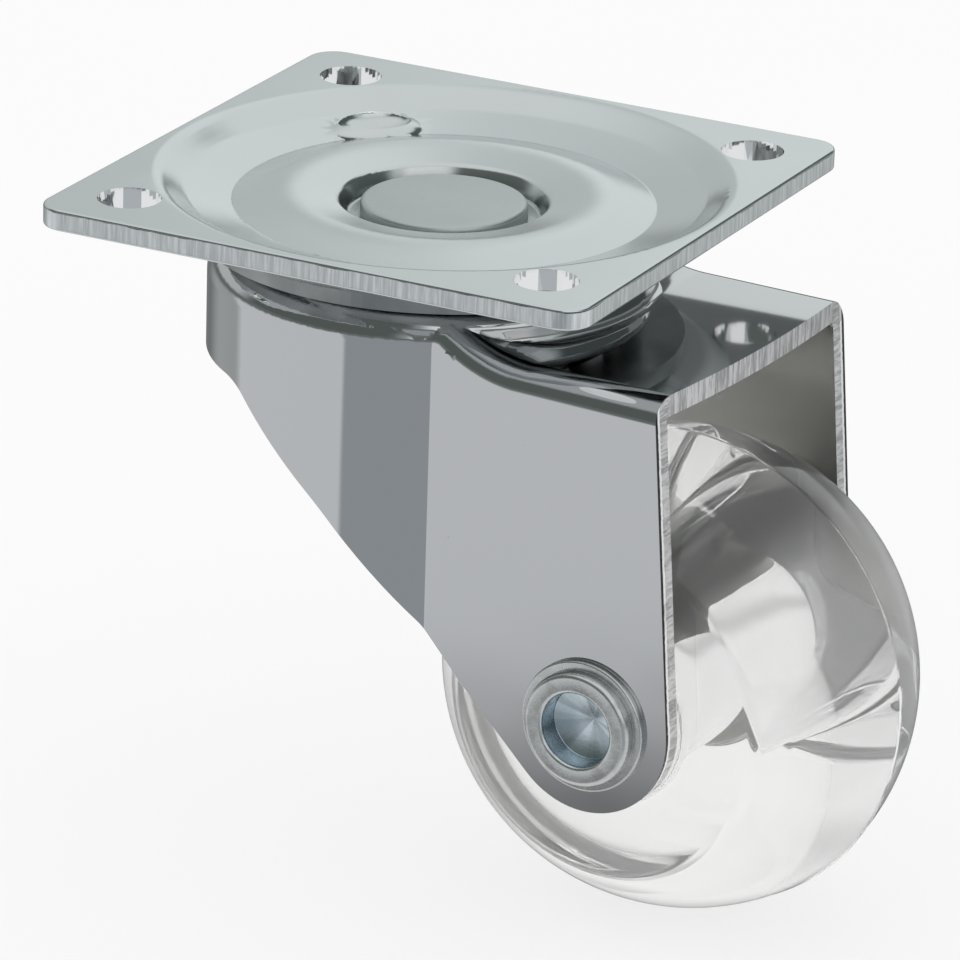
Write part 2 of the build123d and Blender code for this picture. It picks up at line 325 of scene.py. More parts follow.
def sheared_rim_colour(tree, place, streaks, finish):
    """Colour of the plate's sheared sides: light streaks under a ragged lip of painted shade."""
    light = smooth_step(tree, streaks, 0.38, 0.66)
    edge = mix_colour(tree, light, finish.zinc_shade, finish.sheared_light)
    height_up = add_node(tree, "ShaderNodeSeparateXYZ", {"Vector": place}).outputs["Z"]
    raggedness = noise(tree, place, RAGGED_LIP, 3.0, 0.6)
    ragged = math_node(tree, "MULTIPLY_ADD", raggedness, 0.0004, height_up)
    # A ragged band of painted shade along the top of the sheared sides
    return mix_colour(tree, smooth_step(tree, ragged, *LIP_BORDER), edge, LIP_PAINTED_SHADE)


def zinc_material(finish):
    """Bright zinc plating on pressed sheet: cloudy, softly shiny, streaked where it was sheared, with
    painted shade in its gaps and along the sheared lip.
    """
    made, tree, output, place = blank_material("zinc_pressed_plate")
    clouds = noise(tree, place, ZINC_CLOUDS)
    grain = noise(tree, place, ZINC_GRAIN, 3.0, 0.6)
    stretched = vector_node(tree, "MULTIPLY", place, (1.0, 1.0, 0.06))
    streaks = noise(tree, stretched, RIM_STREAKS, 3.0, 0.75)
    wall = smooth_step(tree, upright_wall_mask(tree), 0.75, 0.95)
    sheared = math_node(tree, "MULTIPLY", wall, plate_rim_mask(tree, place))
    punched = math_node(tree, "SUBTRACT", wall, sheared)
    face = mix_colour(tree, clouds, finish.zinc_shade, finish.zinc_light)
    colour = mix_colour(tree, sheared, face, sheared_rim_colour(tree, place, streaks, finish))
    colour = mix_colour(tree, punched, colour, grey(0.95))
    # Painted shade in gaps and recesses, from ambient occlusion
    gap_painted_shade = math_node(tree, "MULTIPLY", painted_crevice_shade(tree, 0.004), 0.85)
    colour = mix_colour(tree, gap_painted_shade, colour, PAINTED_CREVICE_SHADE)
    rough = math_node(tree, "MULTIPLY_ADD", grain, 0.05, finish.zinc_roughness - 0.02)
    rough = math_node(tree, "MULTIPLY_ADD", sheared, 0.12, rough)
    rough = math_node(tree, "MULTIPLY_ADD", punched, -0.1, rough)
    height = math_node(tree, "MULTIPLY", math_node(tree, "MULTIPLY", sheared, streaks), 0.7)
    height = math_node(tree, "ADD", height, clouds)
    metal_shader(tree, output, colour, rough, height, depth=0.00004)
    return made


def mesh_mark(tree, name):
    """Reads one of the marks that mark_sheet_faces leaves on the fork."""
    return add_node(tree, "ShaderNodeAttribute", attribute_name=name).outputs["Fac"]


def sideways_reach(tree, place):
    """Distance from the wheel's middle plane."""
    reach = vector_node(tree, "SUBTRACT", place, tuple(AXLE_CENTRE))
    along = vector_node(tree, "DOT_PRODUCT", reach, tuple(AXLE_LINE), output=1)
    return math_node(tree, "ABSOLUTE", along)


def shear_streaks(tree, place, side):
    """Streaks that run through the sheet: across the cheeks' edges, and down the deck's edge."""
    stretched_across = vector_node(tree, "MULTIPLY", place, (1.0, 0.12, 1.0))
    stretched_down = vector_node(tree, "MULTIPLY", place, (1.0, 1.0, 0.12))
    across = noise(tree, stretched_across, FORK_STREAKS, 3.0, 0.75)
    down = noise(tree, stretched_down, FORK_STREAKS, 3.0, 0.75)
    on_cheek = smooth_step(tree, side, *STREAKS_TURN)
    change = math_node(tree, "SUBTRACT", across, down)
    return math_node(tree, "MULTIPLY_ADD", change, on_cheek, down)


def line_along_edge(tree, ragged, line):
    """0 further in than where the line starts, 1 from where it is full."""
    start, full = line
    return smooth_step(tree, ragged, CHEEK_OUTER_SIDE - start, CHEEK_OUTER_SIDE - full)


def torn_edge_colour(tree, streaks, waves, side):
    """Colour of the fork's cut edges: grey streaks, then a painted highlight on the rolled edge and a
    painted dark shade line outside it.
    """
    torn = mix_colour(tree, smooth_step(tree, streaks, 0.36, 0.62), grey(0.36), grey(0.68))
    ragged = math_node(tree, "MULTIPLY_ADD", streaks, 0.0003, side)
    ragged = math_node(tree, "MULTIPLY_ADD", waves, 0.0002, ragged)
    # Painted highlight along the rolled edge
    torn = mix_colour(tree, line_along_edge(tree, ragged, ROLLED_EDGE_PAINTED_HIGHLIGHT), torn, grey(0.95))
    # Painted dark shade line at the sheet's outer side
    return mix_colour(tree, line_along_edge(tree, ragged, EDGE_PAINTED_SHADE_LINE), torn, grey(0.02))


def chrome_material(finish):
    """Chrome plating over pressed sheet: mirror-like, faintly wavy, duller and with painted shade
    inside, torn at cut edges with a painted highlight and a painted shade line.
    """
    made, tree, output, place = blank_material("chrome_plating")
    cut = mesh_mark(tree, CUT_EDGE)
    inner = mesh_mark(tree, INNER_FACE)
    waves = noise(tree, place, CHROME_WAVES, 1.0, 0.4)
    side = sideways_reach(tree, place)
    streaks = shear_streaks(tree, place, side)
    specks = smooth_step(tree, noise(tree, place, CHROME_SPECKS, 3.0, 0.7), 0.72, 0.82)
    colour = mix_colour(tree, math_node(tree, "MULTIPLY", specks, 0.25), finish.chrome, grey(0.25))
    # Faces inside the fork: the darker colour is painted shade, the added roughness is duller plating
    colour = mix_colour(tree, inner, colour, finish.chrome_inside_dull_and_painted_shade)
    colour = mix_colour(tree, cut, colour, torn_edge_colour(tree, streaks, waves, side))
    rough = math_node(tree, "MULTIPLY_ADD", specks, 0.2, finish.chrome_roughness)
    rough = math_node(tree, "MULTIPLY_ADD", inner, 0.22, rough)
    rough = math_node(tree, "MULTIPLY_ADD", cut, 0.22, rough)
    height = math_node(tree, "MULTIPLY", math_node(tree, "MULTIPLY", cut, streaks), 3.0)
    height = math_node(tree, "ADD", height, waves)
    metal_shader(tree, output, colour, rough, height, depth=0.00002)
    return made


def hollow_rivet_material(finish):
    """Nickel plated rivet: grey flange, and cooler tones inside the hollow ends, with painted radial
    shade and light and painted shade deep inside.
    """
    made, tree, output, place = blank_material("axle_rivet_steel")
    reach = vector_node(tree, "SUBTRACT", place, tuple(AXLE_CENTRE))
    lengthwise = vector_node(tree, "PROJECT", reach, tuple(AXLE_LINE))
    outward = vector_node(tree, "SUBTRACT", reach, lengthwise)
    radius = vector_node(tree, "LENGTH", outward, output=1)
    hollow = smooth_step(tree, radius, HOLLOW_RADIUS + HOLLOW_SOFTNESS, HOLLOW_RADIUS)
    painted_radial_shade = noise(tree, vector_node(tree, "NORMALIZE", outward), 1.9, 1.0, 0.4)
    grain = noise(tree, place, STEEL_GRAIN, 3.0, 0.6)
    scuffs = smooth_step(tree, noise(tree, place, RIVET_SCUFFS, 3.0, 0.65), 0.45, 0.7)
    flange = mix_colour(tree, scuffs, finish.rivet, dimmed(finish.rivet, 0.78))
    # Painted radial shade and light across the hollow, by the direction round the axle
    cool = mix_colour(tree, smooth_step(tree, painted_radial_shade, 0.42, 0.6), HOLLOW_PAINTED_SHADE, HOLLOW_PAINTED_LIGHT)
    # Painted shade deep in the hollow, from ambient occlusion
    deep = math_node(tree, "MULTIPLY", painted_crevice_shade(tree, 0.003), 0.4)
    cool = mix_colour(tree, deep, cool, HOLLOW_DEPTH_PAINTED_SHADE)
    colour = mix_colour(tree, hollow, flange, cool)
    rough = math_node(tree, "MULTIPLY_ADD", grain, 0.12, 0.2)
    metal_shader(tree, output, colour, rough, grain, depth=0.00001)
    return made


def steel_material(name, colour, roughness, blotches=0.28):
    """Bright steel with fine grain. blotches is how much darker its duller spots are."""
    made, tree, output, place = blank_material(name)
    grain = noise(tree, place, STEEL_GRAIN, 3.0, 0.6)
    blotch = smooth_step(tree, noise(tree, place, STEEL_BLOTCHES), 0.3, 0.75)
    tone = mix_colour(tree, blotch, dimmed(colour, 1.0 - blotches), colour)
    rough = math_node(tree, "MULTIPLY_ADD", grain, 0.12, roughness - 0.06)
    metal_shader(tree, output, tone, rough, grain, depth=0.000012)
    return made


def clear_material(finish):
    """Clear moulded plastic, polished, with faint flow marks."""
    made, tree, output, place = blank_material("clear_moulded_plastic")
    flow = noise(tree, place, FLOW_MARKS, distortion=0.6)
    inputs = {"Base Color": finish.clear_tint, "Roughness": 0.0, "IOR": finish.clear_index,
              "Transmission Weight": 1.0}
    shader = add_node(tree, "ShaderNodeBsdfPrincipled", inputs)
    add_bump(tree, shader, flow, depth=0.00001)
    haze = add_node(tree, "ShaderNodeBsdfTranslucent", {"Color": grey(0.97)})
    hazy = add_node(tree, "ShaderNodeMixShader",
                    {0: PLASTIC_HAZE, 1: shader.outputs[0], 2: haze.outputs[0]})
    tree.links.new(hazy.outputs[0], output.inputs["Surface"])
    return made


# Meshes

def new_object(name, mesh):
    made = bpy.data.objects.new(name, mesh)
    bpy.context.scene.collection.objects.link(made)
    return made


def give_material(piece, made):
    piece.data.materials.clear()
    piece.data.materials.append(made)


def smooth_with_edges(mesh, degrees=SMOOTH_ANGLE):
    """Smooth shading that keeps an edge where faces meet at more than the angle."""
    mesh.polygons.foreach_set("use_smooth", [True] * len(mesh.polygons))
    mesh.set_sharp_from_angle(angle=math.radians(degrees))


def refined_copy(name, node_name, degrees=SMOOTH_ANGLE, weld=WELD):
    """A welded, smoothly shaded copy of a model node, which it replaces."""
    source = FRAME["nodes"][node_name]
    work = bmesh.new()
    work.from_mesh(source.data)
    bmesh.ops.remove_doubles(work, verts=work.verts, dist=weld)
    bmesh.ops.dissolve_degenerate(work, edges=work.edges, dist=weld)
    mesh = bpy.data.meshes.new(name)
    work.to_mesh(mesh)
    work.free()
    smooth_with_edges(mesh, degrees)
    piece = new_object(name, mesh)
    weighted = piece.modifiers.new("even_normals", "WEIGHTED_NORMAL")
    weighted.keep_sharp = True
    weighted.weight = 100
    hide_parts(node_name)
    return piece


def is_cut_edge(face):
    """Whether a face of the fork is where the sheet was sheared: the cheeks' and the deck's edges."""
    reach = face.calc_center_median() - AXLE_CENTRE
    faces_sideways = abs(face.normal.dot(AXLE_LINE)) > LOOKS_SIDEWAYS
    on_cheek = abs(reach.dot(AXLE_LINE)) > CHEEK_INNER_SIDE and reach.z < DECK_UNDERSIDE_REACH
    looks_forward = face.normal.dot(TRAIL_LINE) > LOOKS_FORWARD
    at_front = looks_forward and reach.dot(TRAIL_LINE) > DECK_FRONT_REACH
    faces_up = face.normal.z >= LOOKS_THAT_WAY
    return not faces_sideways and not faces_up and (on_cheek or at_front)


def looks_inwards(face):
    """Whether a face of the fork looks at the wheel, or down, or forward from under the deck."""
    reach = face.calc_center_median() - AXLE_CENTRE
    side = reach.dot(AXLE_LINE)
    to_middle = -face.normal.dot(AXLE_LINE) * math.copysign(1.0, side) > LOOKS_THAT_WAY
    on_cheek = abs(side) > CHEEK_INNER_SIDE
    looks_forward = face.normal.dot(TRAIL_LINE) > LOOKS_THAT_WAY
    under_deck = looks_forward and reach.z < DECK_UNDERSIDE_REACH
    return face.normal.z < -LOOKS_THAT_WAY or (to_middle and on_cheek) or under_deck


def mark_sheet_faces(mesh):
    """Marks the fork's cut edges and the faces inside the fork, for its material."""
    work = bmesh.new()
    work.from_mesh(mesh)
    cut = work.faces.layers.float.new(CUT_EDGE)
    inner = work.faces.layers.float.new(INNER_FACE)
    for face in work.faces:
        sheared = is_cut_edge(face)
        face[cut] = float(sheared)
        face[inner] = float(looks_inwards(face) and not sheared)
    work.to_mesh(mesh)
    work.free()


def soften_edges(piece, width):
    """Breaks the piece's sharp edges with a fine bevel, ahead of its even normals."""
    bevel = piece.modifiers.new("broken_edges", "BEVEL")
    bevel.width = width
    bevel.segments = 2
    bevel.limit_method = "ANGLE"
    bevel.angle_limit = math.radians(BROKEN_EDGE_ANGLE)
    piece.modifiers.move(piece.modifiers.find("broken_edges"), 0)


def rounded_path(corners, steps=8):
    """Points of a path with rounded corners. Each corner is (x, y, radius), in one plane."""
    path = []
    for number, (x, y, radius) in enumerate(corners):
        here = Vector((x, y))
        if radius <= 0 or number in (0, len(corners) - 1):
            path.append(here)
            continue
        before = Vector(corners[number - 1][:2]) - here
        after = Vector(corners[number + 1][:2]) - here
        angle = before.angle(after)
        reach = radius / math.tan(angle / 2)
        start = before.normalized() * reach
        end = after.normalized() * reach
        middle = (before.normalized() + after.normalized()).normalized()
        centre = middle * (radius / math.sin(angle / 2))
        first = start - centre
        turn = first.angle_signed(end - centre)
        for step in range(steps + 1):
            path.append(here + centre + Matrix.Rotation(-turn * step / steps, 2) @ first)
    return path


def axis_frame(centre, line):
    """Places a piece drawn about Z onto a line through a centre."""
    return Matrix.Translation(centre) @ line.to_track_quat("Z", "Y").to_matrix().to_4x4()


def ring_of_vertices(work, place, radius, height, segments):
    """A ring of vertices about Z, or one vertex for a point on the line."""
    if radius < ON_THE_LINE:
        return [work.verts.new(place @ Vector((0, 0, height)))]
    ring = []
    for step in range(segments):
        angle = 2 * math.pi * step / segments
        point = Vector((radius * math.cos(angle), radius * math.sin(angle), height))
        ring.append(work.verts.new(place @ point))
    return ring


def turned_mesh(name, profile, place, segments, closed=True):
    """Turns a profile of (radius, height) about Z. A closed one joins its last point to its first."""
    work = bmesh.new()
    rings = [ring_of_vertices(work, place, radius, height, segments) for radius, height in profile]
    pairs = list(zip(rings, rings[1:]))
    if closed:
        pairs.append((rings[-1], rings[0]))
    for low, high in pairs:
        for step in range(segments):
            after = (step + 1) % segments
            corners = (low[step % len(low)], low[after % len(low)],
                       high[after % len(high)], high[step % len(high)])
            unique = list(dict.fromkeys(corners))
            if len(unique) > 2:
                work.faces.new(unique)
    bmesh.ops.recalc_face_normals(work, faces=work.faces)
    mesh = bpy.data.meshes.new(name)
    work.to_mesh(mesh)
    work.free()
    smooth_with_edges(mesh)
    return mesh


def in_metres(points):
    """Points given in millimetres, in metres."""
    return [(x * MM, y * MM) for x, y in points]


def turned_piece(name, profile, place, node_name, segments=TURNED_SEGMENTS, closed=True):
    """A turned piece from a profile in millimetres, in place of the model's own node."""
    mesh = turned_mesh(name, in_metres(profile), place, segments, closed)
    piece = new_object(name, mesh)
    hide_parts(node_name)
    return piece


# Sizes and finishes that a user may change

class CasterSizes(bpy.types.PropertyGroup):
    """Sizes of the pieces that the scene makes itself, the same as in the model."""

    upper_count: bpy.props.IntProperty(
        name="Upper balls", description="Balls over the crown", default=18, min=3)
    lower_count: bpy.props.IntProperty(
        name="Lower balls", description="Balls under the crown", default=12, min=3)
    wheel_radius: bpy.props.FloatProperty(
        name="Wheel radius", description="Radius at the parting line",
        default=0.025, unit="LENGTH")
    wheel_half_width: bpy.props.FloatProperty(
        name="Half width", description="From the middle plane to the hub boss's face",
        default=0.0165, unit="LENGTH")
    tread_arc: bpy.props.FloatProperty(
        name="Tread arc", description="Radius of the domed tread's section",
        default=0.0231, unit="LENGTH")
    tread_shift: bpy.props.FloatProperty(
        name="Tread shift", description="How far the arc's centre lies past the middle plane",
        default=0.0019, unit="LENGTH")


class CasterFinish(bpy.types.PropertyGroup):
    """Colours and roughness of the finishes."""

    zinc_light: bpy.props.FloatVectorProperty(
        name="Zinc, light", description="Lighter tone of the plate", subtype="COLOR", size=4,
        default=(0.65, 0.678, 0.682, 1.0))
    zinc_shade: bpy.props.FloatVectorProperty(
        name="Zinc, shade", description="Darker tone of the plate", subtype="COLOR", size=4,
        default=(0.56, 0.59, 0.596, 1.0))
    sheared_light: bpy.props.FloatVectorProperty(
        name="Sheared edge", description="Light streaks of the sheared edge", subtype="COLOR", size=4,
        default=(0.8, 0.83, 0.84, 1.0))
    zinc_roughness: bpy.props.FloatProperty(
        name="Zinc roughness", description="Softness of the plate's reflections",
        default=0.17, subtype="FACTOR")
    chrome: bpy.props.FloatVectorProperty(
        name="Chrome", description="Colour of the fork's plating", subtype="COLOR", size=4,
        default=(0.56, 0.57, 0.58, 1.0))
    chrome_roughness: bpy.props.FloatProperty(
        name="Chrome roughness", description="Softness of the fork's reflections",
        default=0.05, subtype="FACTOR")
    # Its darkness is painted shade on the faces inside the fork
    chrome_inside_dull_and_painted_shade: bpy.props.FloatVectorProperty(
        name="Chrome, inside", description="Duller plating inside the fork", subtype="COLOR", size=4,
        default=(0.35, 0.348, 0.33, 1.0))
    kingpin: bpy.props.FloatVectorProperty(
        name="Kingpin", description="Colour of the kingpin's flat head", subtype="COLOR", size=4,
        default=(0.485, 0.52, 0.52, 1.0))
    rivet: bpy.props.FloatVectorProperty(
        name="Axle rivet", description="Colour of the axle rivet's flange", subtype="COLOR", size=4,
        default=(0.62, 0.635, 0.63, 1.0))
    washer: bpy.props.FloatVectorProperty(
        name="Washers", description="Colour of the axle's washers", subtype="COLOR", size=4,
        default=(0.66, 0.67, 0.67, 1.0))
    sleeve: bpy.props.FloatVectorProperty(
        name="Sleeve", description="Colour of the tube inside the wheel", subtype="COLOR", size=4,
        default=(0.88, 0.88, 0.88, 1.0))
    ball: bpy.props.FloatVectorProperty(
        name="Balls", description="Colour of the bearing's balls", subtype="COLOR", size=4,
        default=(0.62, 0.62, 0.62, 1.0))
    race: bpy.props.FloatVectorProperty(
        name="Race steel", description="Colour of the race rings", subtype="COLOR", size=4,
        default=(0.37, 0.39, 0.395, 1.0))
    clear_tint: bpy.props.FloatVectorProperty(
        name="Clear plastic", description="Tint of the wheel", subtype="COLOR", size=4,
        default=(0.955, 0.955, 0.947, 1.0))
    clear_index: bpy.props.FloatProperty(
        name="Index", description="Refraction index of the wheel", default=1.49, min=1.0)


# Operators, one for each piece or group of like pieces

class CASTER_OT_mounting_plate(bpy.types.Operator):
    """Finishes the pressed mounting plate"""

    bl_idname = "caster.mounting_plate"
    bl_label = "Mounting plate"

    def execute(self, context):
        piece = refined_copy("mounting_plate_pressed", "mounting_plate", PLATE_SMOOTH_ANGLE)
        give_material(piece, zinc_material(context.scene.caster_finish))
        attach(piece, "plate")
        return {"FINISHED"}


class CASTER_OT_kingpin(bpy.types.Operator):
    """Finishes the kingpin and the two race rings"""

    bl_idname = "caster.kingpin"
    bl_label = "Kingpin and races"

    def execute(self, context):
        finish = context.scene.caster_finish
        profile = rounded_path(KINGPIN_CORNERS)
        pin = turned_piece("kingpin_rivet", profile, Matrix(), "kingpin", closed=False)
        head = steel_material("kingpin_rivet_steel", finish.kingpin, roughness=0.42, blotches=0.03)
        give_material(pin, head)
        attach(pin, "plate")
        race = steel_material("race_ring_steel", finish.race, roughness=0.3)
        for node_name in ("upper_race", "lower_race"):
            piece = refined_copy(node_name + "_ring", node_name)
            give_material(piece, race)
            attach(piece, "plate")
        return {"FINISHED"}


def ball_row_tree():
    """Geometry nodes that put a number of balls on a circle."""
    tree = bpy.data.node_groups.new("ball_row", "GeometryNodeTree")
    sockets = (("Count", "NodeSocketInt"), ("Row Radius", "NodeSocketFloat"),
               ("Ball Radius", "NodeSocketFloat"), ("Height", "NodeSocketFloat"),
               ("Material", "NodeSocketMaterial"))
    for name, kind in sockets:
        tree.interface.new_socket(name, in_out="INPUT", socket_type=kind)
    tree.interface.new_socket("Geometry", in_out="OUTPUT", socket_type="NodeSocketGeometry")
    given = add_node(tree, "NodeGroupInput").outputs
    circle = add_node(tree, "GeometryNodeMeshCircle",
                      {"Vertices": given["Count"], "Radius": given["Row Radius"]})
    lift = add_node(tree, "ShaderNodeCombineXYZ", {"Z": given["Height"]})
    raised = add_node(tree, "GeometryNodeTransform",
                      {"Geometry": circle.outputs["Mesh"], "Translation": lift.outputs["Vector"]})
    ball = add_node(tree, "GeometryNodeMeshUVSphere",
                    {"Segments": BALL_SEGMENTS, "Rings": BALL_RINGS, "Radius": given["Ball Radius"]})
    smooth = add_node(tree, "GeometryNodeSetShadeSmooth", {"Geometry": ball.outputs["Mesh"]})
    placed = add_node(tree, "GeometryNodeInstanceOnPoints",
                      {"Points": raised.outputs["Geometry"], "Instance": smooth.outputs["Geometry"]})
    real = add_node(tree, "GeometryNodeRealizeInstances", {"Geometry": placed.outputs["Instances"]})
    painted = add_node(tree, "GeometryNodeSetMaterial",
                       {"Geometry": real.outputs["Geometry"], "Material": given["Material"]})
    add_node(tree, "NodeGroupOutput", {"Geometry": painted.outputs["Geometry"]})
    return tree


def plain_mesh_from_nodes(name, tree, values):
    """Runs a geometry node tree with the given inputs and keeps its result as a plain mesh."""
    piece = new_object(name, bpy.data.meshes.new(name))
    maker = piece.modifiers.new("maker", "NODES")
    maker.node_group = tree
    inputs = [item for item in tree.interface.items_tree if item.in_out == "INPUT"]
    identifiers = {item.name: item.identifier for item in inputs}
    for key, value in values.items():
        maker[identifiers[key]] = value
    bpy.context.view_layer.update()
    seen = piece.evaluated_get(bpy.context.evaluated_depsgraph_get())
    result = bpy.data.meshes.new_from_object(seen)
    piece.modifiers.remove(maker)
    piece.data = result
    return piece


class CASTER_OT_ball_rows(bpy.types.Operator):
    """Makes the two rows of steel balls"""

    bl_idname = "caster.ball_rows"
    bl_label = "Ball rows"

    def execute(self, context):
        sizes = context.scene.caster_sizes
        tree = ball_row_tree()
        ball = context.scene.caster_finish.ball
        steel = steel_material("bearing_ball_steel", ball, roughness=0.12)
        rows = (("upper", sizes.upper_count), ("lower", sizes.lower_count))
        for row, count in rows:
            low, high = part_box(f"{row}_ball_01")
            middle = (low + high) / 2
            piece = plain_mesh_from_nodes(f"{row}_ball_row", tree, {
                "Count": count,
                "Row Radius": middle.x,
                "Ball Radius": (high.z - low.z) / 2,
                "Height": middle.z,
                "Material": steel,
            })
            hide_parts(*[f"{row}_ball_{number:02d}" for number in range(1, count + 1)])
            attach(piece, f"{row}_balls")
        return {"FINISHED"}


class CASTER_OT_fork(bpy.types.Operator):
    """Finishes the pressed fork"""

    bl_idname = "caster.fork"
    bl_label = "Fork"

    def execute(self, context):
        piece = refined_copy("fork_pressed", "fork", weld=FORK_WELD)
        mark_sheet_faces(piece.data)
        soften_edges(piece, FORK_EDGE_BREAK)
        give_material(piece, chrome_material(context.scene.caster_finish))
        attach(piece, "fork")
        return {"FINISHED"}


class CASTER_OT_axle(bpy.types.Operator):
    """Finishes the axle rivet, its washers and the sleeve"""

    bl_idname = "caster.axle"
    bl_label = "Axle"

    def execute(self, context):
        finish = context.scene.caster_finish
        rivet = hollow_rivet_material(finish)
        steel = steel_material("washer_steel", finish.washer, roughness=0.26)
        sleeve = steel_material("drawn_sleeve_steel", finish.sleeve, roughness=0.3, blotches=0.1)
        place = axis_frame(AXLE_CENTRE, AXLE_LINE)
        end = rounded_path(AXLE_END_CORNERS)
        whole = list(reversed(mirrored(end))) + end
        washer = rounded_path(WASHER_CORNERS)
        looks = (
            ("axle_rivet", whole, "axle", rivet, "rivet_steel", False),
            ("axle_tube", sleeve_profile(), "axle_sleeve", sleeve, "sleeve_steel", True),
            ("washer_far", washer, "axle_washer_far", steel, "washer_zinc", True),
            ("washer_near", mirrored(washer), "axle_washer_near", steel, "washer_zinc", True),
        )
        for name, profile, node_name, material, slot, closed in looks:
            piece = turned_piece(name, profile, place, node_name, closed=closed)
            give_material(piece, material)
            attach(piece, "fork")
        return {"FINISHED"}


def mirrored(profile):
    """The same profile at the other end of the line."""
    return [(radius, -height) for radius, height in profile]


def sleeve_radius():
    """Outer radius of the tube that the wheel runs on, from the model's own size, in millimetres."""
    low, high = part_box("axle_sleeve")
    return (high.z - low.z) / 2 / MM


def sleeve_profile():
    """Section of the tube that the wheel runs on, in millimetres."""
    outer = sleeve_radius()
    end = [(outer, SLEEVE_HALF_LENGTH), (SLEEVE_BORE_RADIUS, SLEEVE_HALF_LENGTH)]
    return list(reversed(mirrored(end))) + end


def tread_radius_at(sizes, distance):
    """Radius of the domed tread at a distance from the wheel's middle plane, in millimetres."""
    arc = sizes.tread_arc / MM
    shift = sizes.tread_shift / MM
    centre = sizes.wheel_radius / MM - math.sqrt(arc**2 - shift**2)
    return centre + math.sqrt(arc**2 - (distance + shift) ** 2)


def wheel_profile(sizes):
    """Section of the whole wheel, radius against distance along the axle, in millimetres."""
    face = sizes.wheel_half_width / MM
    side = face - BOSS_HEIGHT
    edge_end = side - TREAD_EDGE_REACH
    corners = (
        (sleeve_radius() + WHEEL_CLEARANCE, face, 0),
        (BOSS_RADIUS, face, BOSS_EDGE_ROUNDING),
        (BOSS_RADIUS, side, BOSS_FOOT_ROUNDING),
        (tread_radius_at(sizes, side), side, TREAD_EDGE_ROUNDING),
        (tread_radius_at(sizes, edge_end), edge_end, 0),
    )
    half = rounded_path(corners, steps=10)[:-1]
    start = side - DOME_START
    for step in range(DOME_STEPS + 1):
        distance = start + (RIDGE_FOOT - start) * step / DOME_STEPS
        half.append((tread_radius_at(sizes, distance), distance))
    half.append((sizes.wheel_radius / MM + RIDGE_HEIGHT, RIDGE_HALF_WIDTH))
    return half + list(reversed(mirrored(half)))


class CASTER_OT_wheel(bpy.types.Operator):
    """Makes the clear wheel"""

    bl_idname = "caster.wheel"
    bl_label = "Wheel"

    def execute(self, context):
        sizes = context.scene.caster_sizes
        place = axis_frame(AXLE_CENTRE, AXLE_LINE)
        piece = turned_piece("wheel_clear", wheel_profile(sizes), place, "wheel", WHEEL_SEGMENTS)
        give_material(piece, clear_material(context.scene.caster_finish))
        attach(piece, "wheel")
        return {"FINISHED"}


# Studio

def studio_world(scene):
    """White surroundings for the camera, soft light and dark panels for what metal and plastic show."""
    world = bpy.data.worlds.new("studio")
    scene.world = world
    world.use_nodes = True
    tree = world.node_tree
    tree.nodes.clear()
    ray = add_node(tree, "ShaderNodeLightPath").outputs
    direction = add_node(tree, "ShaderNodeTexCoord").outputs["Generated"]
    parts = add_node(tree, "ShaderNodeSeparateXYZ", {"Vector": direction}).outputs
    azimuth = math_node(tree, "DEGREES", math_node(tree, "ARCTAN2", parts["Y"], parts["X"]))
    level = math_node(tree, "DEGREES", math_node(tree, "ARCSINE", parts["Z"]))
    metal = reflected_studio(tree, azimuth, level)
    plastic = refracted_studio(tree, azimuth, level)
    colour = mix_colour(tree, ray["Is Glossy Ray"], grey(1.0), metal)
    colour = mix_colour(tree, ray["Is Transmission Ray"], colour, plastic)
    background = add_node(tree, "ShaderNodeBackground", {"Color": colour, "Strength": 1.0})
    output = add_node(tree, "ShaderNodeOutputWorld")
    tree.links.new(background.outputs["Background"], output.inputs["Surface"])


def between(tree, value, start, end, softness):
    """1 where the value lies between start and end, with soft borders."""
    rise = smooth_step(tree, value, start - softness, start + softness)
    fall = smooth_step(tree, value, end - softness, end + softness)
    return math_node(tree, "SUBTRACT", rise, fall, clamp=True)


def lay_patches(tree, turn, level, colour, patches):
    """Lays patches of the studio over a colour, one after another."""
    for start, end, softness, tone, *levels in patches:
        cover = between(tree, turn, start, end, softness)
        if levels:
            cover = math_node(tree, "MULTIPLY", cover, smooth_step(tree, level, *levels))
        colour = mix_colour(tree, cover, colour, tone)
    return colour


def reflected_studio(tree, azimuth, level):
    """What the metals see: a pale table below, a dark room with one bright window, soft light above."""
    turn = math_node(tree, "FLOORED_MODULO", azimuth, 360.0)
    patches = (GREY_TABLE, SHADED_TABLE, DARK_TABLE, NEAR_SHADE)
    table = lay_patches(tree, turn, level, PALE_TABLE, patches)
    table = mix_colour(tree, smooth_step(tree, level, *NEAR_TABLE_LEVELS), table, grey(0.82))
    light = lay_patches(tree, turn, level, LOW_LIGHT, (PALE_WALL,))
    light = mix_colour(tree, smooth_step(tree, level, *HIGH_LIGHT_LEVELS), light, HIGH_LIGHT)
    light = lay_patches(tree, turn, level, light, (DARK_ROOM, WINDOW, CURTAIN))
    upward = smooth_step(tree, level, *HORIZON_TO_LIGHT)
    downward = smooth_step(tree, level, *HORIZON_TO_TABLE)
    colour = mix_colour(tree, upward, HORIZON, light)
    return mix_colour(tree, downward, colour, table)


def refracted_studio(tree, azimuth, level):
    """What the clear wheel shows: the white backdrop, a little greyer to the sides."""
    ahead = math_node(tree, "MULTIPLY", between(tree, azimuth, *BACKDROP_TURN),
                      between(tree, level, *BACKDROP_LEVEL))
    colour = mix_colour(tree, ahead, grey(0.93), grey(1.0))
    return mix_colour(tree, between(tree, level, *GREY_BAND_LEVEL), colour, grey(0.62))


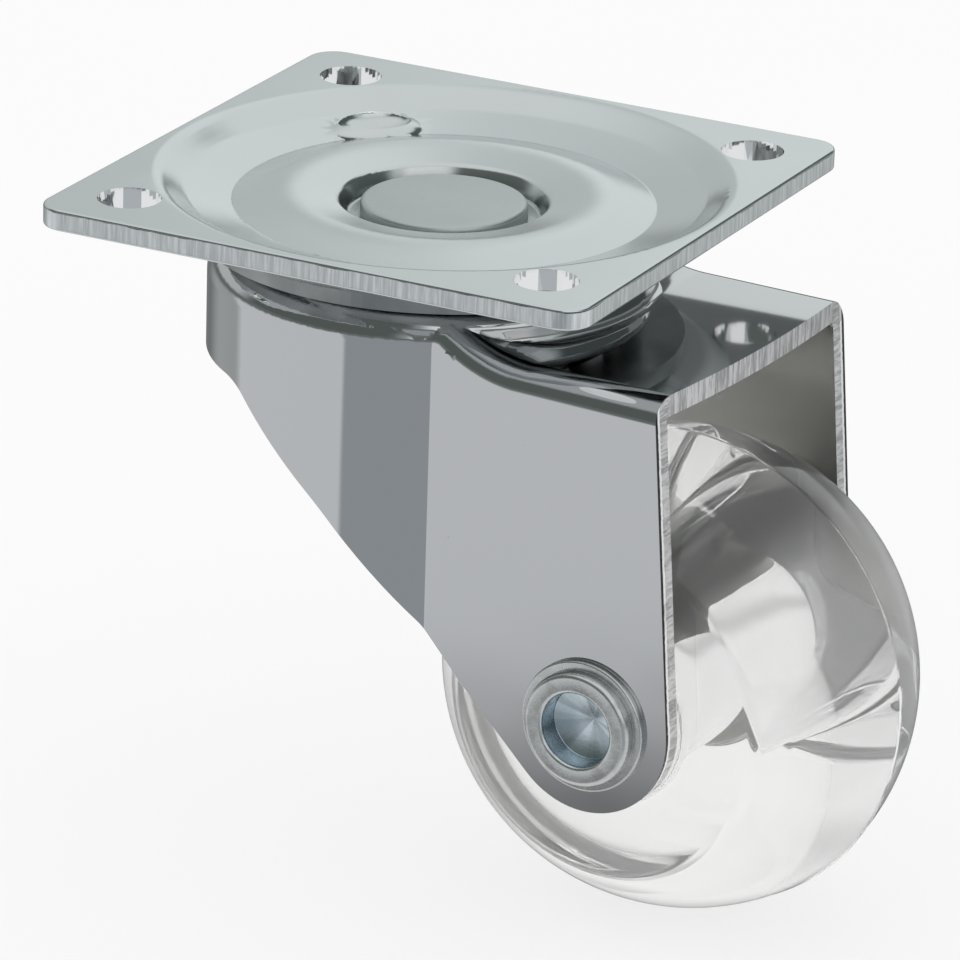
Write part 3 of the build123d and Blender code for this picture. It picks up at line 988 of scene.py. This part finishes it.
class CASTER_OT_stage(bpy.types.Operator):
    """Makes the floor, the studio and the camera"""

    bl_idname = "caster.stage"
    bl_label = "Stage"

    def execute(self, context):
        scene = context.scene
        scene.view_settings.view_transform = "Standard"
        camera = bpy.data.cameras.new("camera")
        camera.lens = CAMERA_LENS
        camera.sensor_width = CAMERA_SENSOR
        camera.clip_end = CAMERA_FAR
        eye = new_object("camera", camera)
        eye.location = CAMERA_PLACE
        eye.rotation_euler = Euler([math.radians(turn) for turn in CAMERA_TURN])
        scene.camera = eye
        make_floor()
        studio_world(scene)
        return {"FINISHED"}


def make_floor():
    """A pale round floor under the wheel. Metals see past it to the studio's light."""
    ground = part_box("wheel")[0].z
    profile = [(radius, ground) for radius in FLOOR_RINGS]
    mesh = turned_mesh("floor", profile, Matrix(), FLOOR_SEGMENTS, closed=False)
    floor = new_object("floor", mesh)
    made, tree, output, place = blank_material("pale_floor")
    ray = add_node(tree, "ShaderNodeLightPath").outputs
    tone = mix_colour(tree, noise(tree, place, FLOOR_CLOUDS), grey(0.86), grey(0.9))
    matt = add_node(tree, "ShaderNodeBsdfDiffuse", {"Color": tone})
    glow = add_node(tree, "ShaderNodeEmission", {"Color": grey(1.0), "Strength": 1.0})
    shown = math_node(tree, "MAXIMUM", ray["Is Camera Ray"], ray["Is Transmission Ray"])
    shown = math_node(tree, "MULTIPLY", shown, FLOOR_GLOW)
    mixed = add_node(tree, "ShaderNodeMixShader",
                     {0: shown, 1: matt.outputs[0], 2: glow.outputs[0]})
    clear = add_node(tree, "ShaderNodeBsdfTransparent")
    final = add_node(tree, "ShaderNodeMixShader",
                     {0: ray["Is Glossy Ray"], 1: mixed.outputs[0], 2: clear.outputs[0]})
    tree.links.new(final.outputs[0], output.inputs["Surface"])
    give_material(floor, made)


class CASTER_PT_panel(bpy.types.Panel):
    """Lists the caster's pieces"""

    bl_idname = "CASTER_PT_panel"
    bl_label = "Caster"
    bl_space_type = "VIEW_3D"
    bl_region_type = "UI"
    bl_category = "Caster"

    def draw(self, context):
        for piece in PIECES:
            self.layout.operator(piece.bl_idname)
        for group in (context.scene.caster_sizes, context.scene.caster_finish):
            for name in group.__annotations__:
                self.layout.prop(group, name)


PIECES = (
    CASTER_OT_stage,
    CASTER_OT_mounting_plate,
    CASTER_OT_kingpin,
    CASTER_OT_ball_rows,
    CASTER_OT_fork,
    CASTER_OT_axle,
    CASTER_OT_wheel,
)
CLASSES = (CasterSizes, CasterFinish, *PIECES, CASTER_PT_panel)


def register():
    for made in CLASSES:
        bpy.utils.register_class(made)
    bpy.types.Scene.caster_sizes = bpy.props.PointerProperty(type=CasterSizes)
    bpy.types.Scene.caster_finish = bpy.props.PointerProperty(type=CasterFinish)


def unregister():
    del bpy.types.Scene.caster_finish
    del bpy.types.Scene.caster_sizes
    for made in reversed(CLASSES):
        bpy.utils.unregister_class(made)


def main():
    register()
    bpy.ops.caster.stage()
    bpy.ops.caster.mounting_plate()
    bpy.ops.caster.kingpin()
    bpy.ops.caster.ball_rows()
    bpy.ops.caster.fork()
    bpy.ops.caster.axle()
    bpy.ops.caster.wheel()


if __name__ == "__main__":
    main()
